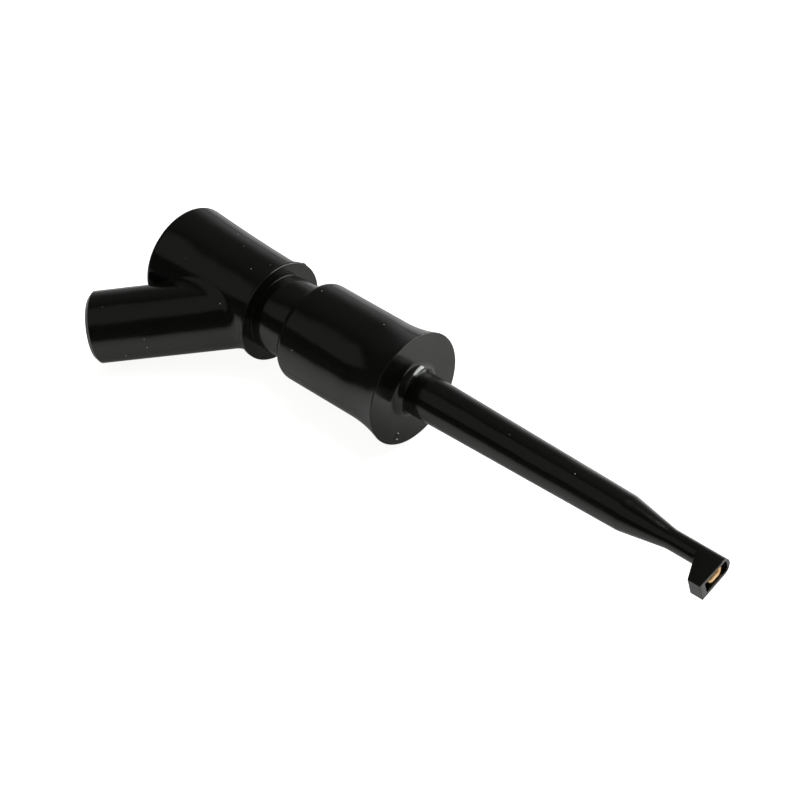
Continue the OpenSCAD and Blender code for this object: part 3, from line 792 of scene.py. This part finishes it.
class CLIP_OT_contacts(bpy.types.Operator):
    """Socket sleeve, contact rod and hook of the plunger's circuit"""
    bl_idname = "hook_clip.contacts"
    bl_label = "Contacts"

    def execute(self, context):
        c = context.scene.hook_clip.contact
        e = context.scene.hook_clip.grip.edge_round

        # Sleeve: a turned tube with a closed floor and a tail, cross-drilled for the rod
        floor = c.sleeve_mouth - c.sleeve_depth
        profile = soft_profile(
            [(-c.tail_radius, 0), (-c.tail_radius, c.tail_radius), (c.sleeve_foot, c.tail_radius),
             (c.sleeve_foot, c.sleeve_radius), (c.sleeve_mouth, c.sleeve_radius), (c.sleeve_mouth, c.socket_radius),
             (floor, c.socket_radius), (floor, 0)],
            [0, e, 0, 2 * e, e, 2.5 * e, 0, 0])
        brass = metal("brass, turned", "brass", (0.16, 0.34), line_width=0.25, line_height=0.004,
                      turning=plug_turning())
        sleeve = make_piece("socket_sleeve_turned", [(along_arm(profile, ring_angles(96, 0.01)), True)],
                            "slider", brass, "socket_sleeve")
        drill(sleeve, context.scene.hook_clip.plunger.rod_hole)

        # Rod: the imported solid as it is, with its finish
        nickel = metal("nickel plate on drawn rod", "nickel", (0.14, 0.3), line_width=0.4, line_height=0.002)
        rod = frame["nodes"]["contact_rod"]
        rod.data.materials.clear()
        rod.data.materials.append(nickel)

        # Hook: a round wire along the axis, a quarter bend, a leg and a domed end
        bend = np.linspace(0, np.pi / 2, 17)
        dome = np.linspace(0, np.pi / 2, 9)
        turn_x, leg_end = c.leg_place - c.hook_bend, c.wire_radius - c.leg_reach
        path = np.concatenate([
            [(c.wire_start, 0), (c.wire_start, 0), (c.wire_start + e, 0), (turn_x - e, 0)],
            np.stack([turn_x + c.hook_bend * np.sin(bend), c.hook_bend * (np.cos(bend) - 1)], axis=1),
            [(c.leg_place, -c.hook_bend - e), (c.leg_place, leg_end + e)],
            np.stack([np.full(len(dome), c.leg_place), leg_end - c.wire_radius * np.sin(dome)], axis=1)])
        heading = np.concatenate([np.zeros(4), bend, np.full(2 + len(dome), np.pi / 2)])
        size = c.wire_radius * np.concatenate([[0], np.ones(len(path) - len(dome) - 1), np.cos(dome)])
        around = full_turn(40)
        sideways = size[:, None] * np.cos(around)
        wire = np.stack([path[:, :1] + sideways * np.sin(heading)[:, None],
                         path[:, 1:] + sideways * np.cos(heading)[:, None],
                         size[:, None] * np.sin(around)], axis=-1)
        gold = metal("gold plate on copper wire", "gold", (0.3, 0.45), line_width=0.3, line_height=0.003)
        make_piece("hook_wire_formed", [(wire, True)], "slider", gold, "hook_wire")
        return {"FINISHED"}


def drill(piece, radius):
    """Cuts a round hole along the main axis through a piece, with a Boolean that is made part of the mesh."""
    turns = full_turn(64)
    half_length = 30 * MM
    rod = np.array([(-1.0, 0.0), (-1.0, 1.0), (1.0, 1.0), (1.0, 0.0)]) * (half_length, radius)
    grid = turned(rod, turns) + arm_frame(turns)[0]
    mesh, _ = welded("rod_drill", placed(grid), wall_faces(*grid.shape[:2], 0, True))
    cutter = stand("rod_drill", mesh)
    cut = piece.modifiers.new("rod hole", "BOOLEAN")
    cut.operation, cut.solver, cut.object = "DIFFERENCE", "EXACT", cutter
    graph = bpy.context.evaluated_depsgraph_get()
    whole = piece.data
    piece.data = bpy.data.meshes.new_from_object(piece.evaluated_get(graph))
    piece.data.name = whole.name + "_drilled"
    piece.modifiers.clear()
    bpy.data.objects.remove(cutter)
    bpy.data.meshes.remove(mesh)
    bpy.data.meshes.remove(whole)


class CLIP_OT_spring(bpy.types.Operator):
    """Return spring in the grip, built at one length; on the real clip it shortens as the plunger is pressed"""
    bl_idname = "hook_clip.spring"
    bl_label = "Return Spring"

    def execute(self, context):
        c = context.scene.hook_clip.contact
        steps_per_turn = 48
        turn = np.linspace(0, c.turns, steps_per_turn * c.turns + 1)
        along = -c.spring_rear + np.interp(
            turn, [0, 1, c.turns - 1, c.turns], [0, c.closed_pitch, c.spring_run - c.closed_pitch, c.spring_run])
        size = np.concatenate([[0], np.full(len(turn), c.spring_wire / 2), [0]])
        turn, along = np.pad(turn, 1, "edge"), np.pad(along, 1, "edge")
        around = full_turn(14)
        out = c.coil_radius + size[:, None] * np.cos(around)
        angle = 2 * np.pi * turn[:, None]
        coil = np.stack(
            [along[:, None] + size[:, None] * np.sin(around), out * np.cos(angle), out * np.sin(angle)], axis=-1)
        steel = metal("spring steel, drawn", "steel", (0.22, 0.4), line_width=0.2, line_height=0.002)
        spring = make_piece("return_spring_coil", [(coil, True)], "grip", steel, "return_spring")
        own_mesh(spring)
        return {"FINISHED"}


def panel_light(name, toward, away, width, height, radiance, diffuse=True, glossy=True):
    """An area light away from the clip along a direction, facing it. Its power is its radiance times pi times its
    area. The camera doesn't see it, and a light may serve only matt or only glossy surfaces."""
    aim = Vector(bpy.context.scene.hook_clip.studio.aim)
    light = bpy.data.lights.new(name, "AREA")
    light.shape, light.size, light.size_y = "RECTANGLE", width, height
    light.energy = radiance * math.pi * width * height
    direction = Vector(toward).normalized()
    facing = direction.to_track_quat("Z", "Y").to_matrix().to_4x4()
    holder = stand(name, light)
    holder.matrix_world = Matrix.Translation(aim + direction * away) @ facing
    holder.visible_camera = False
    holder.visible_diffuse, holder.visible_glossy = diffuse, glossy


def floor_with_painted_gloss_shade():
    """Matt pale board, lit from below like a light table. The eye gets an even near-white with a hardly visible
    shadow. In the clip's gloss the board is lit mostly from above, so it shows the shadow under the clip. Over that,
    the gloss sees painted shade and light: the board's colour and a painted glow dim towards the front, far behind
    and past the left end, and brighten to the back right."""
    material, tree = start_material("floor, pale board with painted gloss shade")
    clip = bpy.context.scene.hook_clip
    pale = clip.colours.floor
    place = add(tree, "ShaderNodeTexCoord").outputs["Object"]
    tone = colour_between(tree, clouds(tree, place, 3, 3.0), pale, [0.985 * c for c in pale])
    matt = add(tree, "ShaderNodeBsdfDiffuse", {"Color": tone})
    glow = add(tree, "ShaderNodeEmission", {"Color": tone, "Strength": clip.studio.board})
    seen = add(tree, "ShaderNodeAddShader", {0: matt.outputs["BSDF"], 1: glow.outputs["Emission"]})

    # Painted shade and light that the gloss sees, by place in metres along four directions: front, front left, behind,
    # right
    front = ramp(tree, reach_along(tree, place, (0.3, -0.95, 0.0)), -0.002, 0.07, 1.0, 0.05)
    front_left = ramp(tree, reach_along(tree, place, (-0.7, -0.714, 0.0)), -0.06, -0.005, 2.0, 0.97, soft=False)
    behind = ramp(tree, reach_along(tree, place, BEHIND), 0.02, 0.15, 1.0, 0.65, soft=False)
    right = ramp(tree, reach_along(tree, place, (1.0, 0.0, 0.0)), -0.13, -0.09, 0.3, 1.0)
    fall = reckon(tree, "MULTIPLY", front, front_left, behind, right)
    painted_shade_share, painted_glow_share = 0.95, 0.14
    # The gloss sees a lamp-lit board whose colour is painted shade, plus a painted glow, both following that painted
    # falloff
    lit = add(tree, "ShaderNodeBsdfDiffuse", {"Color": reckon(tree, "MULTIPLY", fall, painted_shade_share)})
    dim = add(tree, "ShaderNodeEmission", {"Color": tone, "Strength": reckon(tree, "MULTIPLY", fall, painted_glow_share)})
    gloss_floor_lit_and_painted = add(tree, "ShaderNodeAddShader", {0: lit.outputs["BSDF"], 1: dim.outputs["Emission"]})
    # Glossy rays see the painted board, all other rays the even white one
    glossy = add(tree, "ShaderNodeLightPath").outputs["Is Glossy Ray"]
    both = add(tree, "ShaderNodeMixShader", {0: glossy, 1: seen.outputs["Shader"], 2: gloss_floor_lit_and_painted.outputs["Shader"]})
    add(tree, "ShaderNodeOutputMaterial", {"Surface": both.outputs["Shader"]})
    return material


def backdrop(s):
    """World round the studio. The camera sees an even near-white. The gloss sees a backdrop behind the clip, bright
    near the floor, a ceiling over the right, and a dim room. The ramps are over parts of the direction in which a ray
    leaves the studio: x to the right, y to the back and z upwards."""
    camera_white, room, high_backdrop, far_right = 0.95, 0.027, 0.05, 0.15
    world = bpy.data.worlds.new("studio backdrop")
    world.use_nodes = True
    tree = world.node_tree
    tree.nodes.clear()
    toward = add(tree, "ShaderNodeTexCoord").outputs["Generated"]
    x, y, z = add(tree, "ShaderNodeSeparateXYZ", {"Vector": toward}).outputs
    hung = reckon(tree, "MULTIPLY", ramp(tree, reach_along(tree, toward, BEHIND), -0.1, 0.5),
                  ramp(tree, x, -0.95, -0.8), ramp(tree, z, 0.0, 0.5, s.backdrop + high_backdrop, high_backdrop))
    ceiling = reckon(tree, "MULTIPLY", ramp(tree, x, -0.12, 0.25), ramp(tree, x, 0.3, 0.5, 1.0, far_right),
                     ramp(tree, y, -0.65, -0.25), ramp(tree, z, 0.1, 0.5, 0.0, s.ceiling))
    glow = reckon(tree, "ADD", hung, ceiling, room)
    camera = add(tree, "ShaderNodeLightPath").outputs["Is Camera Ray"]
    shine = add(tree, "ShaderNodeBackground", {
        "Color": (1, 1, 1, 1), "Strength": value_between(tree, camera, glow, camera_white)})
    add(tree, "ShaderNodeOutputWorld", {"Surface": shine.outputs["Background"]})
    return world


class CLIP_OT_studio(bpy.types.Operator):
    """Pale floor, soft lights and the camera"""
    bl_idname = "hook_clip.studio"
    bl_label = "Studio"

    def execute(self, context):
        scene = context.scene
        s = scene.hook_clip.studio

        # Floor: rings of points, in metres from the middle
        rings = np.array([0, 0.05, 0.15, 0.4, 1.2])[:, None]
        turns = full_turn(96)
        disc = np.stack(np.broadcast_arrays(rings * np.cos(turns), rings * np.sin(turns), 0 * rings), axis=-1)
        mesh, _ = welded("studio_floor", disc, wall_faces(*disc.shape[:2], 0, True), gap=1e-6)
        # The floor's material paints shade and light by place into what the gloss sees
        mesh.materials.append(floor_with_painted_gloss_shade())
        floor = stand("studio_floor", mesh)

        panel_light("overhead diffuser", toward=(0.05, 0.5, 0.866), away=0.8, width=0.8, height=0.8,
                    radiance=s.overhead, glossy=False)
        panel_light("back softbox", toward=(0.268, 0.775, 0.578), away=0.6, width=0.29, height=0.78,
                    radiance=s.key, diffuse=False)
        panel_light("front fill", toward=(-0.308, -0.572, 0.751), away=0.6, width=0.54, height=0.52,
                    radiance=s.fill)
        scene.world = backdrop(s)

        camera = stand("studio_camera", bpy.data.cameras.new("studio_camera"))
        camera.data.lens, camera.data.sensor_width, camera.data.clip_start = s.focal, 36, 0.01
        spin = (Matrix.Rotation(s.azimuth, 4, "Z") @ Matrix.Rotation(math.pi / 2 - s.elevation, 4, "X")
                @ Matrix.Rotation(-s.roll, 4, "Z"))
        camera.matrix_world = Matrix.Translation(Vector(s.aim)) @ spin @ Matrix.Translation((0, 0, s.distance))
        scene.camera = camera
        scene.view_settings.view_transform = "Standard"
        scene.view_settings.look = "None"
        return {"FINISHED"}


class CLIP_PT_sidebar(bpy.types.Panel):
    """Lists the clip's pieces and their sizes"""
    bl_idname = "CLIP_PT_sidebar"
    bl_label = "Hook Clip"
    bl_space_type = "VIEW_3D"
    bl_region_type = "UI"
    bl_category = "Hook Clip"

    def draw(self, context):
        clip = context.scene.hook_clip
        for maker in OPERATORS:
            self.layout.operator(maker.bl_idname)
        for group in (clip.grip, clip.plunger, clip.contact, clip.colours, clip.studio):
            box = self.layout.box()
            for name in group.__annotations__:
                box.prop(group, name)


OPERATORS = (CLIP_OT_studio, CLIP_OT_grip, CLIP_OT_plunger, CLIP_OT_cap, CLIP_OT_contacts, CLIP_OT_spring)
CLASSES = (GripSizes, PlungerSizes, ContactSizes, ClipColours, StudioSettings, ClipSettings, *OPERATORS,
           CLIP_PT_sidebar)


def register():
    for cls in CLASSES:
        bpy.utils.register_class(cls)
    bpy.types.Scene.hook_clip = bpy.props.PointerProperty(type=ClipSettings)


def unregister():
    del bpy.types.Scene.hook_clip
    for cls in reversed(CLASSES):
        bpy.utils.unregister_class(cls)


def main():
    register()
    bpy.ops.hook_clip.studio()
    bpy.ops.hook_clip.grip()
    bpy.ops.hook_clip.plunger()
    bpy.ops.hook_clip.cap()
    bpy.ops.hook_clip.contacts()
    bpy.ops.hook_clip.spring()


if __name__ == "__main__":
    main()
